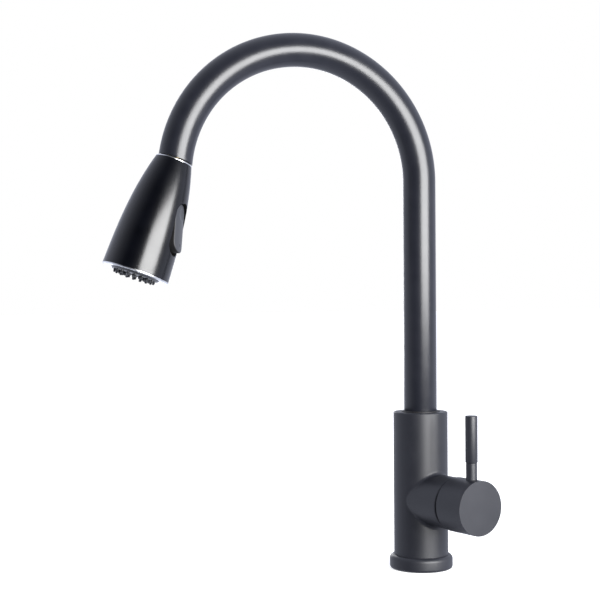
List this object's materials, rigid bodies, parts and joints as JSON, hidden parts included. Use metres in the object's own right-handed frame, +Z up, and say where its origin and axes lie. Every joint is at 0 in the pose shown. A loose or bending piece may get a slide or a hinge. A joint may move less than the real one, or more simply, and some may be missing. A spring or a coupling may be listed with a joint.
{
  "type": "pull down kitchen faucet",
  "caption": "High-arch single-lever kitchen faucet: round deck body, swivelling arched spout, conical pull-down spray head on a hose, side handle with an upright lever.",
  "frame": {"origin": "centre of the base's underside, midway between the two stud holes, on the deck", "axes": "+Z up; +X along the valve axis towards the handle; -Y the faucet's front. At rest the spout is swivelled 14.7 degrees from -Y, away from the handle."},
  "size_m": [0.1671, 0.2931, 0.4532],
  "materials": {
    "satin_black": "satin black coating",
    "brass": "machined",
    "steel": "turned",
    "spring_steel": "drawn wire",
    "black_rubber": "moulded silicone",
    "black_plastic": "fine moulded",
    "grey_plastic": "moulded",
    "ceramic": "lapped",
    "bright_ring": "satin plated",
    "nylon_hose": "braided nylon"
  },
  "bodies": {
    "base": {"base_flange": "satin_black", "body_casting": "satin_black", "port_block": "brass", "port_seals": "black_rubber", "deck_seal": "black_rubber", "thrust_washer": "black_plastic", "lower_bush": "black_plastic", "upper_bush": "black_plastic", "slip_ring": "black_plastic", "retaining_screw": "steel", "cartridge_seals": "black_rubber", "cartridge_base": "grey_plastic", "cartridge_housing": "grey_plastic", "fixed_disc": "ceramic", "cartridge_nut": "brass", "trim_dome": "satin_black"},
    "spout": {"spout_tube": "satin_black", "swivel_collar": "brass", "dock_insert": "black_plastic", "pull_hose": "nylon_hose", "hose_tail": "brass"},
    "hose_end": {"hose_ferrule": "steel", "hose_swivel": "steel", "swivel_seals": "black_rubber"},
    "spray_head": {"head_shell": "satin_black", "top_ring": "bright_ring", "dock_neck": "brass", "head_core": "grey_plastic", "inlet_filter": "steel", "check_body": "grey_plastic", "check_spring": "spring_steel", "button_tray": "black_plastic", "button_pin": "steel", "spray_plate": "grey_plastic", "face_ring": "bright_ring", "nozzle_mat": "black_rubber", "aerator": "black_plastic"},
    "rocker": {"mode_button": "black_plastic"},
    "spool": {"diverter_spool": "grey_plastic"},
    "poppet": {"check_poppet": "grey_plastic"},
    "rotor": {"mixer_rotor": "grey_plastic", "spindle_pin": "steel"},
    "handle": {"handle_hub": "satin_black", "spindle": "steel", "lever_rod": "satin_black", "lever_grip": "satin_black", "handle_set_screw": "steel", "screw_plug": "black_rubber"},
    "disc": {"disc_carrier": "grey_plastic", "moving_disc": "ceramic"}
  },
  "joints": [
    {"name": "spout_swivel", "type": "hinge", "parent": "base", "child": "spout", "pos_m": [0, 0, 0.1342], "axis": [0, 0, 1], "continuous": true},
    {"name": "pull_out", "type": "slide", "parent": "spout", "child": "hose_end", "axis": [-0.0846, -0.3229, -0.9426], "range_m": [0, 0.45], "stiffness_N_per_m": 2, "springref_m": -3, "deforming": ["pull_hose"]},
    {"name": "head_spin", "type": "hinge", "parent": "hose_end", "child": "spray_head", "pos_m": [-0.05477, -0.20893, 0.3438], "axis": [-0.0846, -0.3229, -0.9426], "continuous": true},
    {"name": "mode_rocker", "type": "hinge", "parent": "spray_head", "child": "rocker", "pos_m": [-0.04635, -0.2162, 0.28877], "axis": [-0.6421, 0.7411, -0.1962], "range_deg": [0, 10]},
    {"name": "diverter_slide", "type": "slide", "parent": "spray_head", "child": "spool", "axis": [-0.762, -0.5886, 0.2701], "range_m": [0, 0.00229]},
    {"name": "check_valve", "type": "slide", "parent": "spray_head", "child": "poppet", "axis": [-0.0846, -0.3229, -0.9426], "range_m": [0, 0.002], "stiffness_N_per_m": 40, "springref_m": -0.002, "deforming": ["check_spring"]},
    {"name": "temperature", "type": "hinge", "parent": "base", "child": "rotor", "pos_m": [0, 0, 0.0602], "axis": [1, 0, 0], "range_deg": [-45, 45]},
    {"name": "flow", "type": "hinge", "parent": "rotor", "child": "handle", "pos_m": [0.034, 0, 0.0602], "axis": [0, 1, 0], "range_deg": [0, 22]},
    {"name": "disc_slide", "type": "slide", "parent": "rotor", "child": "disc", "axis": [0, 0, 1], "range_m": [0, 0.00196]}
  ],
  "couplings": [
    {"joint": "diverter_slide", "follows": "mode_rocker", "m_per_rad": 0.012839},
    {"joint": "disc_slide", "follows": "flow", "m_per_rad": 0.005}
  ]
}
